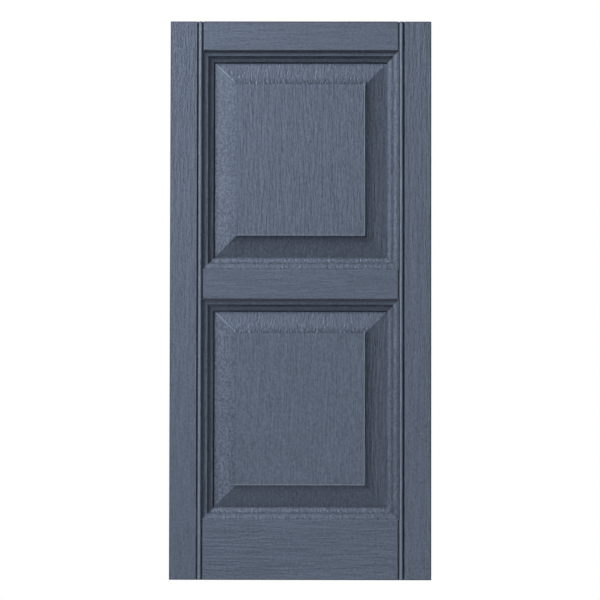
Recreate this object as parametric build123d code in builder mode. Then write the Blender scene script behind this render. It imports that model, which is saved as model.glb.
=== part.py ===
"""Raised panel shutter for an outside wall, moulded in vinyl, with an open ribbed back.

Two full-height stiles carry the rest. Each has a flat face, a narrow quirk and a half-round bead, and a
low ledge inside the bead. Three rails lie between the stiles with their ends on those ledges, and have
ledges of their own, so that a ledge runs all round each of the two openings. A raised panel lies on it by
its rim, and four mitred mouldings, each two coves above a round, cover the rim.

X runs across the shutter, Y from its front to the wall, and Z up. The origin is the bottom middle of the
back, in the plane that lies against the wall. Sizes are in millimetres, and a level is a height above
that plane.
"""

import os
from math import ceil, cos, radians, sin, tan

from build123d import *

# The whole shutter
shutter_width = 368.3
shutter_height = 787.4
shutter_depth = 31.75
wall = 2.5
edge_radius = 1.5

# Stiles
stile_face_width = 37.4
quirk_width = 2.1
quirk_depth = 5.0
bead_width = 5.7
bead_setback = 0.3
ledge_width = 10.0

# Rails
top_rail_height = 40.8
middle_rail_height = 41.0
bottom_rail_height = 84.6
rail_end_gap = 2.0
rail_gap_depth = 6.0
rail_arris_radius = 0.6

# Mouldings: two coves, the lower one running on into a round that turns down to the panel
edge_drop = 0.5
upper_cove_width = 7.8
upper_cove_drop = 3.55
upper_cove_slope = 3.0
lower_cove_width = 6.1
lower_cove_drop = 4.5
lower_cove_slope = 17.0
round_width = 3.7
round_drop = 3.75
leg_thickness = 2.6
groove_width = 4.6

# Raised panels
bevel_width = 30.4
straight_bevel_width = 10.0
bevel_slope = 14.3
field_setback = 1.6
shoulder_height = 1.0
field_arris_radius = 0.35
rim_play = 2.2

# Ribs on the back, and the play between pieces
rib_thickness = 2.0
rib_drop = 2.0
rib_spacing = 72.0
ledge_play = 0.3
moulding_play = 0.1
mitre_play = 0.1

# Widths and levels that follow
bead_start = stile_face_width + quirk_width
stile_width = bead_start + bead_width
moulding_width = upper_cove_width + lower_cove_width + round_width
valley_level = shutter_depth - edge_drop - upper_cove_drop - lower_cove_drop - round_drop
ledge_level = valley_level - wall
rib_level = ledge_level - wall - rib_drop
field_level = shutter_depth - field_setback
rail_length = shutter_width - 2 * (stile_width + rail_end_gap)
rail_tongue_length = shutter_width - 2 * (stile_width + ledge_play)
rail_back_length = shutter_width - 2 * (stile_width + ledge_width + ledge_play)

# Openings between the rails, and the ring of mouldings in each
rails_height = top_rail_height + middle_rail_height + bottom_rail_height
opening_width = shutter_width - 2 * stile_width
opening_height = (shutter_height - rails_height) / 2
ring_width = opening_width - 2 * moulding_play
ring_height = opening_height - 2 * moulding_play
valley_width = ring_width - 2 * moulding_width
valley_height = ring_height - 2 * moulding_width
middle_rail_bottom = bottom_rail_height + opening_height
middle_rail_top = middle_rail_bottom + middle_rail_height
top_rail_bottom = middle_rail_top + opening_height
lower_middle = bottom_rail_height + opening_height / 2
upper_middle = middle_rail_top + opening_height / 2

FRONT = Vector(0, -1, 0)


def rib_places(length):
    """Places of ribs along a length, from its middle, that leave no bay wider than rib_spacing."""
    bays = ceil(length / rib_spacing)
    return [length * (rib / bays - 0.5) for rib in range(1, bays)]


def back_plane(height, level=0):
    """The plane at a level above the wall, facing the front, with its origin at a height."""
    return Plane(origin=(0, -level, height), x_dir=(1, 0, 0), z_dir=FRONT)


def make_left_stile():
    """The left stile: an open-backed channel whose section runs from its outer edge to its ledge."""
    bead_radius = bead_width / 2
    bead_level = shutter_depth - bead_setback - bead_radius
    quirk_radius = quirk_width / 2
    quirk_level = shutter_depth - quirk_depth + quirk_radius
    ledge_edge = stile_width + ledge_width
    face_roof = shutter_depth - wall
    bead_roof = face_roof - quirk_depth
    section = Plane(origin=(-shutter_width / 2, 0, 0), x_dir=(1, 0, 0), z_dir=(0, 0, -1))
    with BuildPart() as stile:
        with BuildSketch(section.offset(-shutter_height)):
            with BuildLine():
                Polyline((bead_start, bead_level), (bead_start, quirk_level))
                ThreePointArc(
                    (bead_start, quirk_level),
                    (bead_start - quirk_radius, quirk_level - quirk_radius),
                    (stile_face_width, quirk_level),
                )
                Polyline(
                    (stile_face_width, quirk_level),
                    (stile_face_width, shutter_depth),
                    (0, shutter_depth),
                    (0, 0),
                    (ledge_edge, 0),
                    (ledge_edge, ledge_level),
                    (stile_width, ledge_level),
                    (stile_width, bead_level),
                )
                ThreePointArc(
                    (stile_width, bead_level),
                    (bead_start + bead_radius, bead_level + bead_radius),
                    (bead_start, bead_level),
                )
            make_face()
        extrude(amount=shutter_height)
        front_edges = stile.faces().sort_by(Axis.Y)[0].edges()
        fillet(front_edges.sort_by(Axis.X)[:-1], edge_radius)
        with BuildSketch(section.offset(-shutter_height + wall)):
            with BuildLine():
                Polyline(
                    (wall, 0),
                    (wall, face_roof),
                    (stile_face_width - wall, face_roof),
                    (stile_face_width - wall, bead_roof),
                    (stile_width - wall, bead_roof),
                    (stile_width - wall, ledge_level - wall),
                    (ledge_edge - wall, ledge_level - wall),
                    (ledge_edge - wall, 0),
                    close=True,
                )
            make_face()
        extrude(amount=shutter_height - 2 * wall, mode=Mode.SUBTRACT)
        for rib in rib_places(shutter_height):
            with BuildSketch(section.offset(-shutter_height / 2 - rib)):
                with BuildLine():
                    Polyline(
                        (wall / 2, rib_level),
                        (wall / 2, face_roof + wall / 2),
                        (stile_face_width - wall / 2, face_roof + wall / 2),
                        (stile_face_width - wall / 2, bead_roof + wall / 2),
                        (stile_width - wall / 2, bead_roof + wall / 2),
                        (stile_width - wall / 2, ledge_level - wall / 2),
                        (ledge_edge - wall / 2, ledge_level - wall / 2),
                        (ledge_edge - wall / 2, rib_level),
                        close=True,
                    )
                make_face()
            extrude(amount=rib_thickness / 2, both=True)
    return stile


def make_rail(bottom, top, ledge_below, ledge_above):
    """A rail whose face runs from bottom to top, with the ledges below and above it that are asked for."""
    back_bottom = bottom - ledge_below
    back_top = top + ledge_above
    face_height = top - bottom
    back_height = back_top - back_bottom
    face_middle = (bottom + top) / 2
    back_middle = (back_bottom + back_top) / 2
    roof = shutter_depth - wall
    tongue = (rail_length - rail_back_length) / 2
    tongue_middle = (rail_length - tongue - wall) / 2
    with BuildPart() as rail:
        with BuildSketch(back_plane(back_middle)):
            Rectangle(rail_back_length, back_height)
        extrude(amount=ledge_level)
        with BuildSketch(back_plane(face_middle, ledge_level)):
            Rectangle(rail_tongue_length, face_height)
        extrude(amount=shutter_depth - rail_gap_depth - ledge_level)
        with BuildSketch(back_plane(face_middle, ledge_level)):
            Rectangle(rail_length, face_height)
        extrude(amount=shutter_depth - ledge_level)
        front_edges = rail.faces().sort_by(Axis.Y)[0].edges()
        fillet(front_edges, rail_arris_radius)
        with BuildSketch(back_plane(back_middle)):
            Rectangle(rail_back_length - 2 * wall, back_height - 2 * wall)
        extrude(amount=ledge_level - wall, mode=Mode.SUBTRACT)
        with BuildSketch(back_plane(face_middle)):
            Rectangle(rail_back_length - 2 * wall, face_height - 2 * wall)
        extrude(amount=roof, mode=Mode.SUBTRACT)
        with BuildSketch(back_plane(face_middle, ledge_level)):
            with Locations((-tongue_middle, 0), (tongue_middle, 0)):
                Rectangle(tongue - wall, face_height - 2 * wall)
        extrude(amount=roof - ledge_level, mode=Mode.SUBTRACT)
        with BuildSketch(back_plane(back_middle, rib_level)):
            for rib in rib_places(rail_back_length):
                with Locations((rib, 0)):
                    Rectangle(rib_thickness, back_height - wall)
            for rib in rib_places(back_height):
                with Locations((0, rib)):
                    Rectangle(rail_back_length - wall, rib_thickness)
        extrude(amount=ledge_level - wall / 2 - rib_level)
        with BuildSketch(back_plane(face_middle, ledge_level - wall)):
            for rib in rib_places(rail_back_length):
                with Locations((rib, 0)):
                    Rectangle(rib_thickness, face_height - wall)
            for rib in rib_places(back_height):
                with Locations((0, back_middle - face_middle + rib)):
                    Rectangle(rail_back_length - wall, rib_thickness)
        extrude(amount=roof + wall / 2 - ledge_level + wall)
    return rail


def raised_section(plane, half_width, level, margin):
    """The section of a raised panel across its width, on the level of its valley, less a margin."""
    slope = radians(bevel_slope)
    bevel_start = half_width - margin
    bevel_bend = bevel_start - straight_bevel_width
    bend_level = level + straight_bevel_width * tan(slope)
    field_edge = bevel_start - bevel_width
    block_field_level = field_level + level - valley_level
    block_bevel_level = block_field_level - shoulder_height
    with BuildSketch(plane) as section:
        with BuildLine():
            for side in (-1, 1):
                Line((side * bevel_start, level), (side * bevel_bend, bend_level))
                TangentArc(
                    (side * bevel_bend, bend_level),
                    (side * field_edge, block_bevel_level),
                    tangent=(-side * cos(slope), sin(slope)),
                )
                Line((side * field_edge, block_bevel_level), (side * field_edge, block_field_level))
            Line((-field_edge, block_field_level), (field_edge, block_field_level))
            Line((-bevel_start, level), (bevel_start, level))
        make_face()
    return section.sketch


def make_raised_block(middle, level, margin):
    """The bevels and field of a raised panel as a block on a level, smaller by a margin on each side."""
    across = Plane(origin=(0, 0, middle), x_dir=(1, 0, 0), z_dir=(0, 0, -1))
    along = Plane(origin=(0, 0, middle), x_dir=(0, 0, 1), z_dir=(1, 0, 0))
    cross_section = raised_section(across, valley_width / 2, level, margin)
    long_section = raised_section(along, valley_height / 2, level, margin)
    with BuildPart() as block:
        extrude(cross_section, amount=valley_height / 2 - margin, both=True)
        extrude(long_section, amount=valley_width / 2 - margin, both=True, mode=Mode.INTERSECT)
    return block


def make_panel(middle):
    """A raised panel at a middle height: a shell with a flat rim, bevels and field, ribbed behind."""
    rim_reach = moulding_width - leg_thickness - rim_play
    columns = ceil(valley_width / rib_spacing)
    rows = ceil(valley_height / rib_spacing)
    column_pitch = (valley_width - rib_thickness) / columns
    row_pitch = (valley_height - rib_thickness) / rows
    cell_width = column_pitch - rib_thickness
    cell_height = row_pitch - rib_thickness
    front = make_raised_block(middle, valley_level, 0)
    hollow = make_raised_block(middle, ledge_level, wall)
    with BuildPart() as cells:
        with BuildSketch(back_plane(middle)):
            with GridLocations(column_pitch, row_pitch, columns, rows):
                Rectangle(cell_width, cell_height)
        extrude(amount=shutter_depth)
        add(hollow.part, mode=Mode.INTERSECT)
    with BuildPart() as panel:
        with BuildSketch(back_plane(middle, ledge_level)):
            Rectangle(valley_width + 2 * rim_reach, valley_height + 2 * rim_reach)
        extrude(amount=wall)
        add(front.part)
        field_edges = panel.faces().sort_by(Axis.Y)[0].edges()
        fillet(field_edges, field_arris_radius)
        add(cells.part, mode=Mode.SUBTRACT)
    return panel


def make_moulding(outer_edge, inward, length):
    """A moulding along one side of a ring, from the middle of its outer edge, mitred at both ends."""
    upper_cove_level = shutter_depth - edge_drop
    lower_cove_level = upper_cove_level - upper_cove_drop
    round_level = lower_cove_level - lower_cove_drop
    round_start = upper_cove_width + lower_cove_width
    groove_roof = lower_cove_level - wall
    upper_slope = radians(upper_cove_slope)
    lower_slope = radians(lower_cove_slope)
    mitre_reach = length / 2 - mitre_play
    with BuildPart() as moulding:
        with BuildSketch(Plane(origin=outer_edge, x_dir=inward, z_dir=inward.cross(FRONT))):
            with BuildLine():
                TangentArc(
                    (upper_cove_width, lower_cove_level),
                    (0, upper_cove_level),
                    tangent=(-cos(upper_slope), sin(upper_slope)),
                )
                TangentArc(
                    (round_start, round_level),
                    (upper_cove_width, lower_cove_level),
                    tangent=(-cos(lower_slope), sin(lower_slope)),
                )
                TangentArc(
                    (round_start, round_level),
                    (moulding_width, valley_level),
                    tangent=(cos(lower_slope), -sin(lower_slope)),
                )
                Polyline(
                    (moulding_width, valley_level),
                    (leg_thickness + groove_width, valley_level),
                    (leg_thickness + groove_width, groove_roof),
                    (leg_thickness, groove_roof),
                    (leg_thickness, ledge_level),
                    (0, ledge_level),
                    (0, upper_cove_level),
                )
            make_face()
        extrude(amount=length / 2, both=True)
        with BuildSketch(Plane(origin=outer_edge, x_dir=inward, z_dir=FRONT)):
            Polygon(
                (0, -mitre_reach),
                (0, mitre_reach),
                (moulding_width, mitre_reach - moulding_width),
                (moulding_width, moulding_width - mitre_reach),
                align=None,
            )
        extrude(amount=shutter_depth, mode=Mode.INTERSECT)
    return moulding


def make_ring(name, middle):
    """The four mouldings round the panel of that name, whose middle is at a height."""
    side = ring_width / 2
    end = ring_height / 2
    return {
        f"{name}_left_moulding": make_moulding(Vector(-side, 0, middle), Vector(1, 0, 0), ring_height),
        f"{name}_right_moulding": make_moulding(Vector(side, 0, middle), Vector(-1, 0, 0), ring_height),
        f"{name}_bottom_moulding": make_moulding(Vector(0, 0, middle - end), Vector(0, 0, 1), ring_width),
        f"{name}_top_moulding": make_moulding(Vector(0, 0, middle + end), Vector(0, 0, -1), ring_width),
    }


left_stile = make_left_stile()
with BuildPart() as right_stile:
    mirror(left_stile.part, about=Plane.YZ)

pieces = {
    "left_stile": left_stile,
    "right_stile": right_stile,
    "bottom_rail": make_rail(0, bottom_rail_height, 0, ledge_width),
    "middle_rail": make_rail(middle_rail_bottom, middle_rail_top, ledge_width, ledge_width),
    "top_rail": make_rail(top_rail_bottom, shutter_height, ledge_width, 0),
    "lower_panel": make_panel(lower_middle),
    "upper_panel": make_panel(upper_middle),
    **make_ring("lower_panel", lower_middle),
    **make_ring("upper_panel", upper_middle),
}

os.makedirs("parts", exist_ok=True)
for name, piece in pieces.items():
    piece.part.label = name
    export_step(piece.part, f"parts/{name}.step")
    print(name, round(piece.part.volume))
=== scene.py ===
"""Looks of the raised panel shutter: embossed vinyl, soft studio light and the photograph's camera.

Lengths are in metres, angles in degrees and colours are linear. The front of the shutter faces -Y.
"""

from math import cos, radians, sin, sqrt
from typing import NamedTuple

import bpy
from mathutils import Matrix, Vector


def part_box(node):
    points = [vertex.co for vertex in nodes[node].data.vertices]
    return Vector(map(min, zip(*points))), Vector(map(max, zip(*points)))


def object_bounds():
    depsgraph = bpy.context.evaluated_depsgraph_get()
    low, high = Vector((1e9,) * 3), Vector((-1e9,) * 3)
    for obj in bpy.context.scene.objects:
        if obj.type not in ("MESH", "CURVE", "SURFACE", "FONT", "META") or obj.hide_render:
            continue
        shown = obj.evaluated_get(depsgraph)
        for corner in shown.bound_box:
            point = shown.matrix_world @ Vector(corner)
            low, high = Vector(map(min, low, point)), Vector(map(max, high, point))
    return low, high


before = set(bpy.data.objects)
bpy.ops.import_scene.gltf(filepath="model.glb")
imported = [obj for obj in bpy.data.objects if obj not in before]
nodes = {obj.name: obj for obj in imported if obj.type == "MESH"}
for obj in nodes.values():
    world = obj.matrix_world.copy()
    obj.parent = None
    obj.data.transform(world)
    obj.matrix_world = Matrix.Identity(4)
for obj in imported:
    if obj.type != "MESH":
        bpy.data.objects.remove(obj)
cad_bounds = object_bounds()


class Grain(NamedTuple):
    """Noise: its cycles per metre across and along the grain, and which of its values become 0 and 1."""

    across: float
    along: float
    detail: float
    distortion: float = 0.0
    low: float = 0.0
    high: float = 1.0


class Line(NamedTuple):
    """A painted line: where its middle is, and how far from there it has faded out."""

    middle: float
    reach: float


class Ramp(NamedTuple):
    """A stretch of values, from where something is off to where it is full."""

    off: float
    full: float


class Light(NamedTuple):
    """Azimuth from straight ahead, elevation, distance, and the watts that it would have at NEAR."""

    azimuth: float
    elevation: float
    distance: float
    power: float


# Colours: the vinyl's high and low grain, its painted highlight, the painted shade of its outline's rim
# and of its hollows and shaded slopes, and gloss
VINYL = (0.078, 0.096, 0.131, 1.0)
VINYL_LOW = (0.044, 0.054, 0.074, 1.0)
VINYL_PAINTED_HIGHLIGHT = (0.235, 0.280, 0.360, 1.0)
VINYL_RIM_PAINTED_SHADE = (0.030, 0.036, 0.050, 1.0)
PAINTED_SHADE_COLOUR = (0.006, 0.008, 0.014, 1.0)
GLOSS_TINT = (0.60, 0.73, 0.987, 1.0)
VINYL_IOR = 1.5

# Roughness, which the grain's low places raise and its high places lower
ROUGHNESS = 0.32
LOW_GRAIN_ROUGHNESS = ROUGHNESS + 0.05
HIGH_GRAIN_ROUGHNESS = ROUGHNESS - 0.03
RIM_ROUGHNESS = 0.7
# Roughness where the painted shade lies
PAINTED_SHADE_ROUGHNESS = 0.2

# Grain, and how much of the relief each kind makes
STREAKS = Grain(across=300.0, along=26.0, detail=2.0, low=0.35, high=0.65)
STREAKS_SHARE = 0.45
PORES = Grain(across=470.0, along=90.0, detail=1.0, low=0.36, high=0.46)
PORES_SHARE = 0.25
STIPPLE = Grain(across=380.0, along=280.0, detail=1.0)
STIPPLE_SHARE = 0.22
WAVES = Grain(across=120.0, along=8.0, detail=2.0, distortion=0.6, low=0.3, high=0.7)
UPRIGHT_WAVES_SHARE = 0.2
LEVEL_WAVES_SHARE = 0.3
NOISE_ROUGHNESS = 0.6
NOISE_MIDDLE = 0.5

# How deep the grain is embossed, and how far it wanders sideways
UPRIGHT_DEPTH = 0.00056
LEVEL_DEPTH = 0.00040
DRIFT = Grain(across=9.0, along=5.0, detail=1.0)
UPRIGHT_DRIFT = 0.002
LEVEL_DRIFT = 0.006

# How relief and stipple set the colour between the low and the high grain's
RELIEF_IN_TONE = 0.5
TONE_BASE = 0.4
TONE_RANGE = Ramp(0.3, 1.1)
SPECKLE = 1.3
# Speckle painted stronger on slopes facing the key light, as painted glints of the grain
LIT_SPECKLE = 2.4

# Which way a place faces, as a component of its normal
FACING_FRONT = Ramp(0.2, -0.1)
FACING_LEFT = Ramp(-0.05, -0.15)
NOT_FACING_LEFT = Ramp(-0.08, 0.0)
FACING_UP = Ramp(0.03, 0.08)
FACING_STEEPLY_UP = Ramp(0.3, 0.5)
FACING_DOWN = Ramp(0.02, -0.08)
FACING_AWAY_FROM_KEY = Ramp(0.05, -0.15)

# Arrises of the stiles and rails, lightened by a painted highlight, found by how far a rounded normal
# turns
ARRIS_RADIUS = 0.0009
ARRIS_SAMPLES = 8
ARRIS_TURN = Ramp(0.9995, 0.985)
ARRIS_PAINTED_HIGHLIGHT = 0.35

# The rim, dulled and darkened by painted shade, as distances in from the shutter's outline
RIM = Ramp(0.0018, 0.0009)
RIM_STRENGTH = 0.9

# The two openings that the mouldings and panels fill, from the mouldings and their play
MOULDING_PLAY = 0.0001
OPENING_HALF_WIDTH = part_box("upper_panel_right_moulding")[1][0] + MOULDING_PLAY
LOWER_OPENING_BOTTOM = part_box("lower_panel_bottom_moulding")[0][2] - MOULDING_PLAY
LOWER_OPENING_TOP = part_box("lower_panel_top_moulding")[1][2] + MOULDING_PLAY
UPPER_OPENING_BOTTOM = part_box("upper_panel_bottom_moulding")[0][2] - MOULDING_PLAY
OPENING_HALF_HEIGHT = (LOWER_OPENING_TOP - LOWER_OPENING_BOTTOM) / 2
OPENINGS_MIDDLE = (LOWER_OPENING_TOP + UPPER_OPENING_BOTTOM) / 2
OPENINGS_HALF_APART = OPENINGS_MIDDLE - (LOWER_OPENING_BOTTOM + LOWER_OPENING_TOP) / 2
OUTSIDE = Ramp(0.0002, -0.0002)
WELL_OUTSIDE = Ramp(0.0, -0.0005)

# Upright lines beside the openings, as distances in from their sides: the beads' painted highlight, and
# the painted shade of the quirks and of the gaps at the rails' ends
BEAD = Line(-0.00285, 0.0036)
BEAD_PAINTED_HIGHLIGHT = 0.28
QUIRK = Line(-0.00675, 0.0012)
RAIL_GAP = Line(0.0010, 0.0012)

# Lines within the openings, as distances in from their edges: painted shade in the creases and valleys
# and next to the fields, and painted highlights on the hips and the fields' edges
CREASES = (Line(0.0017, 0.0025), Line(0.0097, 0.0026))
VALLEY = Line(0.0174, 0.0018)
VALLEY_END = Ramp(0.0178, 0.0176)
BEVEL_START = Ramp(0.0186, 0.0196)
SHOULDER = 0.0480
BEVEL_END = Ramp(SHOULDER, SHOULDER - 0.0010)
SHADE_START = Ramp(SHOULDER - 0.0110, SHOULDER)
SHADE_END = Ramp(SHOULDER + 0.0004, SHOULDER)
FIELD_START = Ramp(SHOULDER, SHOULDER + 0.0002)
FIELD_EDGE = Line(0.0488, 0.0011)
HIP = Line(0.0, 0.0010 * sqrt(2))
LEFT_HALF = Ramp(0.01, 0.0)
LINE_CORE = 0.3

# Strengths of the painted highlights and painted shade, each pair from where the ramp of its side is off
# to where it is full
PAINTED_SHADE_STRENGTH = 0.95
CREASE_STRENGTHS = (0.14, 0.85)
VALLEY_STRENGTHS = (0.2, 1.0)
SHADE_STRENGTH = 0.45
SHADE_SIDE_STRENGTHS = (0.2, 1.0)
HIP_PAINTED_HIGHLIGHT = 0.8
FIELD_EDGE_PAINTED_HIGHLIGHT = 0.32

# Camera, as fitted to the four corners of the shutter in the photograph
CAMERA_DISTANCE = 5.5
CAMERA_ELEVATION = -2.677
CAMERA_AZIMUTH = 0.578
CAMERA_ROLL = 0.099
CAMERA_LENS = 234.42
CAMERA_SENSOR = 36.0
CAMERA_TARGET = Vector((-0.0007, -0.03175, 0.3934))

# Lights. One that is further off than NEAR is as much wider, and stronger by the square of that.
NEAR = 3.0
FAR = 7.0
LIGHT_SIZE = 0.7
LIGHTS_TARGET = Vector((0, 0, 0.39))
LIGHTS = {
    "key": Light(-60, 35, NEAR, 72.9),
    "key_high": Light(-45, 50, NEAR, 46.6),
    "left": Light(-45, 20, NEAR, 10.6),
    "left_front": Light(-30, 5, NEAR, 8.9),
    "front_left_low": Light(-15, 5, NEAR, 3.8),
    "front_left": Light(-15, 20, NEAR, 11.6),
    "front": Light(0, 5, FAR, 4.8),
    "front_high": Light(0, 35, NEAR, 6.3),
    "top": Light(0, 65, NEAR, 3.4),
    "below_right": Light(15, -10, NEAR, 7.5),
    "right_low": Light(30, 5, NEAR, 3.7),
    "back_left": Light(-145, 25, NEAR, 55.0),
    "back_right": Light(145, 25, NEAR, 55.0),
}

# World, which is white to look at and dim as light
WORLD_COLOUR = (1, 1, 1, 1)
WORLD_SHOWN = 1.0
WORLD_LIGHT = 0.02

# Floor
FLOOR_COLOUR = (0.82, 0.82, 0.81, 1.0)
FLOOR_ROUGHNESS = 0.8
FLOOR_HALF = 0.6
FLOOR_LEVEL = -0.4


class Nodes:
    """Adds nodes to a material's or a world's tree, and joins them."""

    def __init__(self, tree):
        self.tree = tree
        tree.nodes.clear()

    def add(self, kind, settings=None, **inputs):
        """Adds a node, with its settings and, by their names with _ for a space, its inputs."""
        node = self.tree.nodes.new(kind)
        for name, value in (settings or {}).items():
            setattr(node, name, value)
        for name, value in inputs.items():
            self.set(node, name.replace("_", " "), value)
        return node

    def set(self, node, name_or_number, value):
        """Gives an input of a node a value, or joins another node's output to it."""
        if isinstance(value, bpy.types.NodeSocket):
            self.tree.links.new(value, node.inputs[name_or_number])
        else:
            node.inputs[name_or_number].default_value = value

    def math(self, operation, *values):
        node = self.add("ShaderNodeMath", {"operation": operation})
        for number, value in enumerate(values):
            self.set(node, number, value)
        return node.outputs[0]

    def minus(self, first, second):
        return self.math("SUBTRACT", first, second)

    def times(self, first, second):
        return self.math("MULTIPLY", first, second)

    def times_plus(self, first, second, third):
        return self.math("MULTIPLY_ADD", first, second, third)

    def least_of(self, first, second):
        return self.math("MINIMUM", first, second)

    def all_of(self, *masks):
        product = masks[0]
        for mask in masks[1:]:
            product = self.times(product, mask)
        return product

    def any_of(self, *masks):
        largest = masks[0]
        for mask in masks[1:]:
            largest = self.math("MAXIMUM", largest, mask)
        return largest

    def vector_math(self, operation, first, second):
        node = self.add("ShaderNodeVectorMath", {"operation": operation})
        self.set(node, 0, first)
        self.set(node, 1, second)
        return node

    def ramp(self, value, stretch, at_off=0.0, at_full=1.0):
        """A stretch of a value laid on the range between two others, and held at its ends."""
        node = self.add(
            "ShaderNodeMapRange",
            Value=value,
            From_Min=stretch.off,
            From_Max=stretch.full,
            To_Min=at_off,
            To_Max=at_full,
        )
        return node.outputs[0]

    def line(self, value, mark):
        """One at the core of a painted line, and nothing past its reach."""
        distance = self.math("ABSOLUTE", self.minus(value, mark.middle))
        return self.ramp(distance, Ramp(mark.reach, LINE_CORE * mark.reach))

    def mix(self, factor, first, second):
        """A colour between two."""
        node = self.add("ShaderNodeMix", {"data_type": "RGBA"}, Factor=factor)
        self.set(node, 6, first)
        self.set(node, 7, second)
        return node.outputs[2]

    def noise(self, position, kind, along):
        """Noise of a kind of grain that runs along X (0) or Z (2)."""
        scale = [kind.across] * 3
        scale[along] = kind.along
        mapping = self.add("ShaderNodeMapping", Vector=position, Scale=scale)
        noise = self.add(
            "ShaderNodeTexNoise",
            Vector=mapping.outputs[0],
            Scale=1.0,
            Detail=kind.detail,
            Roughness=NOISE_ROUGHNESS,
            Distortion=kind.distortion,
        )
        return noise.outputs[0]

    def grain(self, position, kind, along):
        """Noise with the low and high value of its kind laid on 0 and 1."""
        return self.ramp(self.noise(position, kind, along), Ramp(kind.low, kind.high))


class FrontPlace:
    """Where a place lies, seen from the front: X, Z, and how far in from the nearer opening's edges."""

    def __init__(self, tree):
        self.tree = tree
        self.position = tree.add("ShaderNodeTexCoord").outputs["Object"]
        separate = tree.add("ShaderNodeSeparateXYZ", Vector=self.position)
        self.x = separate.outputs["X"]
        self.z = separate.outputs["Z"]
        height = tree.minus(self.z, OPENINGS_MIDDLE)
        outward = tree.minus(tree.math("ABSOLUTE", height), OPENINGS_HALF_APART)
        upward = tree.times(outward, tree.math("SIGN", height))
        self.from_sides = tree.minus(OPENING_HALF_WIDTH, tree.math("ABSOLUTE", self.x))
        self.from_ends = tree.minus(OPENING_HALF_HEIGHT, tree.math("ABSOLUTE", outward))
        self.from_edges = tree.least_of(self.from_sides, self.from_ends)
        from_right = tree.minus(OPENING_HALF_WIDTH, self.x)
        from_bottom = tree.math("ADD", upward, OPENING_HALF_HEIGHT)
        self.from_lower_right = tree.least_of(from_right, from_bottom)

    def drifted(self, along, drift):
        """The position, moved by up to a drift so that a grain along X (0) or Z (2) wanders sideways."""
        tree = self.tree
        wander = tree.noise(self.position, DRIFT, along)
        shift = tree.times(tree.minus(wander, NOISE_MIDDLE), 2 * drift)
        across = "Z" if along == 0 else "X"
        offset = tree.add("ShaderNodeCombineXYZ", **{across: shift})
        return tree.vector_math("ADD", self.position, offset.outputs[0]).outputs[0]


def grain_relief(tree, position, stipple, along, waves_share):
    """The height of the embossing, from 0 to about 1."""
    relief = tree.times(tree.grain(position, WAVES, along), waves_share)
    relief = tree.times_plus(tree.grain(position, STREAKS, along), STREAKS_SHARE, relief)
    relief = tree.times_plus(stipple, STIPPLE_SHARE, relief)
    return tree.times_plus(tree.grain(position, PORES, along), PORES_SHARE, relief)


def grain_tone(tree, facing, stipple, relief):
    """Where the colour lies between the low and the high grain's, with more speckle painted on slopes lit
    by the key light, standing in for the grain's glints.
    """
    lit = tree.any_of(
        tree.ramp(facing.outputs["X"], FACING_LEFT),
        tree.ramp(facing.outputs["Z"], FACING_STEEPLY_UP),
    )
    contrast = tree.times_plus(lit, LIT_SPECKLE, SPECKLE)
    speckle = tree.times_plus(tree.minus(stipple, NOISE_MIDDLE), contrast, TONE_BASE)
    return tree.ramp(tree.times_plus(relief, RELIEF_IN_TONE, speckle), TONE_RANGE)


def arris_mask(tree, place):
    """The arrises outside the openings, which a painted highlight lightens."""
    rounded = tree.add("ShaderNodeBevel", {"samples": ARRIS_SAMPLES}, Radius=ARRIS_RADIUS).outputs[0]
    plain = tree.add("ShaderNodeNewGeometry").outputs["Normal"]
    dot = tree.vector_math("DOT_PRODUCT", rounded, plain).outputs["Value"]
    return tree.times(tree.ramp(dot, ARRIS_TURN), tree.ramp(place.from_edges, OUTSIDE))


def panel_painted_highlights(tree, place, facing):
    """Painted highlight on each panel's upper left hip, and on its field's right and bottom edges."""
    hip = tree.all_of(
        tree.line(tree.minus(place.from_sides, place.from_ends), HIP),
        tree.ramp(place.from_edges, BEVEL_START),
        tree.ramp(place.from_edges, BEVEL_END),
        tree.ramp(facing.outputs["Z"], FACING_UP),
        tree.ramp(place.x, LEFT_HALF, 0.0, HIP_PAINTED_HIGHLIGHT),
    )
    field_edge = tree.times(
        tree.line(place.from_lower_right, FIELD_EDGE),
        tree.ramp(place.from_edges, FIELD_START, 0.0, FIELD_EDGE_PAINTED_HIGHLIGHT),
    )
    return tree.any_of(hip, field_edge)


def painted_shade_mask(tree, place, facing):
    """Painted shade in the quirks, the gaps at the rails' ends, the creases and valleys round the panels,
    and on the bevels next to the fields.
    """
    quirk = tree.line(place.from_sides, QUIRK)
    gap = tree.times(
        tree.line(place.from_sides, RAIL_GAP),
        tree.ramp(place.from_edges, WELL_OUTSIDE),
    )
    # Painted shade in the creases, strongest where they face down, away from the light above
    crease_strength = tree.ramp(facing.outputs["Z"], FACING_DOWN, *CREASE_STRENGTHS)
    creases = [tree.times(tree.line(place.from_edges, crease), crease_strength) for crease in CREASES]
    # Painted shade in the valleys, stronger where they face away from the key light
    towards_key = tree.minus(facing.outputs["Z"], facing.outputs["X"])
    valley = tree.all_of(
        tree.line(place.from_edges, VALLEY),
        tree.ramp(towards_key, FACING_AWAY_FROM_KEY, *VALLEY_STRENGTHS),
        tree.ramp(place.from_edges, VALLEY_END),
    )
    # Painted shade on the bevels next to the fields' shoulders, weaker where they face left towards the
    # key light
    shade = tree.all_of(
        tree.ramp(place.from_edges, SHADE_START, 0.0, SHADE_STRENGTH),
        tree.ramp(place.from_edges, SHADE_END),
        tree.ramp(facing.outputs["X"], NOT_FACING_LEFT, *SHADE_SIDE_STRENGTHS),
    )
    return tree.any_of(quirk, gap, *creases, valley, shade)


def rim_mask(tree, place):
    """The rim of the shutter's outline, which painted shade darkens."""
    (low_x, _, low_z), (high_x, _, high_z) = cad_bounds
    from_sides = tree.least_of(tree.minus(place.x, low_x), tree.minus(high_x, place.x))
    from_ends = tree.least_of(tree.minus(place.z, low_z), tree.minus(high_z, place.z))
    return tree.ramp(tree.least_of(from_sides, from_ends), RIM)


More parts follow.
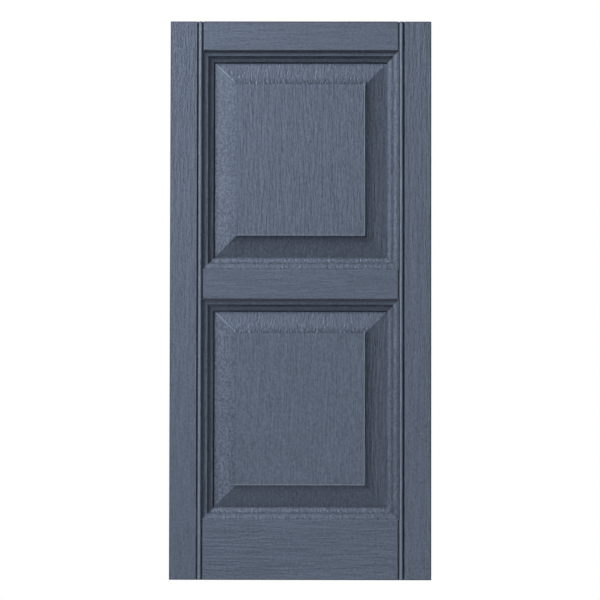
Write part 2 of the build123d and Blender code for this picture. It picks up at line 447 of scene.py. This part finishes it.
def vinyl(name, along, drift, waves_share, depth):
    """Moulded vinyl, embossed with a wood grain along X (0) or Z (2) and smooth where it faces back."""
    material = bpy.data.materials.new(name)
    material.use_nodes = True
    tree = Nodes(material.node_tree)
    place = FrontPlace(tree)
    facing = tree.add("ShaderNodeSeparateXYZ", Vector=tree.add("ShaderNodeNewGeometry").outputs["Normal"])
    front = tree.ramp(facing.outputs["Y"], FACING_FRONT)

    position = place.drifted(along, drift)
    stipple = tree.noise(position, STIPPLE, along)
    relief = tree.times(grain_relief(tree, position, stipple, along, waves_share), front)
    bump = tree.add("ShaderNodeBump", Strength=1.0, Distance=depth, Height=relief)

    # Painted highlights on the arrises, the beads, the panels' upper left hips and the fields' lower
    # right edges
    painted_highlight = tree.any_of(
        tree.times(arris_mask(tree, place), ARRIS_PAINTED_HIGHLIGHT),
        tree.all_of(tree.line(place.from_sides, BEAD), front, BEAD_PAINTED_HIGHLIGHT),
        panel_painted_highlights(tree, place, facing),
    )
    # Painted shade in the hollows and on the bevels next to the fields
    painted_shade = tree.times(painted_shade_mask(tree, place, facing), front)
    # Painted shade round the shutter's outline
    rim = tree.times(rim_mask(tree, place), front)
    colour = tree.mix(grain_tone(tree, facing, stipple, relief), VINYL_LOW, VINYL)
    colour = tree.mix(painted_highlight, colour, VINYL_PAINTED_HIGHLIGHT)
    colour = tree.mix(tree.times(painted_shade, PAINTED_SHADE_STRENGTH), colour, PAINTED_SHADE_COLOUR)
    colour = tree.mix(tree.times(rim, RIM_STRENGTH), colour, VINYL_RIM_PAINTED_SHADE)

    roughness = tree.ramp(relief, Ramp(0.0, 1.0), LOW_GRAIN_ROUGHNESS, HIGH_GRAIN_ROUGHNESS)
    roughness = tree.times_plus(rim, RIM_ROUGHNESS - ROUGHNESS, roughness)
    roughness = tree.times_plus(painted_shade, PAINTED_SHADE_ROUGHNESS - ROUGHNESS, roughness)
    shader = tree.add(
        "ShaderNodeBsdfPrincipled",
        Base_Color=colour,
        Roughness=roughness,
        IOR=VINYL_IOR,
        Specular_Tint=GLOSS_TINT,
        Normal=bump.outputs[0],
    )
    tree.add("ShaderNodeOutputMaterial", Surface=shader.outputs[0])
    return material


def direction(azimuth, elevation):
    """The way from the shutter to something at an azimuth from straight ahead and an elevation."""
    turn, rise = radians(azimuth), radians(elevation)
    return Vector((sin(turn) * cos(rise), -cos(turn) * cos(rise), sin(rise)))


def add_light(name, light):
    further = light.distance / NEAR
    data = bpy.data.lights.new(name, "AREA")
    data.shape = "DISK"
    data.size = LIGHT_SIZE * further
    data.energy = light.power * further**2
    lamp = bpy.data.objects.new(name, data)
    lamp.visible_camera = False
    away = direction(light.azimuth, light.elevation)
    lamp.location = LIGHTS_TARGET + light.distance * away
    lamp.rotation_euler = (-away).to_track_quat("-Z", "Y").to_euler()
    bpy.context.scene.collection.objects.link(lamp)


def add_floor():
    corners = []
    for x, y in ((-1, -1), (1, -1), (1, 1), (-1, 1)):
        corners.append((x * FLOOR_HALF, y * FLOOR_HALF, FLOOR_LEVEL))
    mesh = bpy.data.meshes.new("floor")
    mesh.from_pydata(corners, [], [(0, 1, 2, 3)])
    material = bpy.data.materials.new("pale_floor")
    material.use_nodes = True
    shader = material.node_tree.nodes["Principled BSDF"]
    shader.inputs["Base Color"].default_value = FLOOR_COLOUR
    shader.inputs["Roughness"].default_value = FLOOR_ROUGHNESS
    mesh.materials.append(material)
    floor = bpy.data.objects.new("floor", mesh)
    bpy.context.scene.collection.objects.link(floor)


def add_world():
    world = bpy.data.worlds.new("studio")
    bpy.context.scene.world = world
    world.use_nodes = True
    tree = Nodes(world.node_tree)
    shown = tree.add("ShaderNodeBackground", Color=WORLD_COLOUR, Strength=WORLD_SHOWN)
    lit = tree.add("ShaderNodeBackground", Color=WORLD_COLOUR, Strength=WORLD_LIGHT)
    path = tree.add("ShaderNodeLightPath")
    both = tree.add("ShaderNodeMixShader")
    tree.set(both, 0, path.outputs["Is Camera Ray"])
    tree.set(both, 1, lit.outputs[0])
    tree.set(both, 2, shown.outputs[0])
    tree.add("ShaderNodeOutputWorld", Surface=both.outputs[0])


def add_camera():
    away = direction(CAMERA_AZIMUTH, CAMERA_ELEVATION)
    data = bpy.data.cameras.new("camera")
    data.lens = CAMERA_LENS
    data.sensor_width = CAMERA_SENSOR
    camera = bpy.data.objects.new("camera", data)
    place = Matrix.Translation(CAMERA_TARGET + CAMERA_DISTANCE * away)
    look = (-away).to_track_quat("-Z", "Y").to_matrix().to_4x4()
    roll = Matrix.Rotation(radians(CAMERA_ROLL), 4, "Z")
    camera.matrix_world = place @ look @ roll
    bpy.context.scene.collection.objects.link(camera)
    bpy.context.scene.camera = camera


upright_vinyl = vinyl("upright_grain_vinyl", 2, UPRIGHT_DRIFT, UPRIGHT_WAVES_SHARE, UPRIGHT_DEPTH)
level_vinyl = vinyl("level_grain_vinyl", 0, LEVEL_DRIFT, LEVEL_WAVES_SHARE, LEVEL_DEPTH)
for name, node in nodes.items():
    node.data.materials.clear()
    node.data.materials.append(level_vinyl if name.endswith("_rail") else upright_vinyl)

add_floor()
add_world()
for name, light in LIGHTS.items():
    add_light(name, light)
add_camera()
bpy.context.scene.view_settings.view_transform = "Standard"
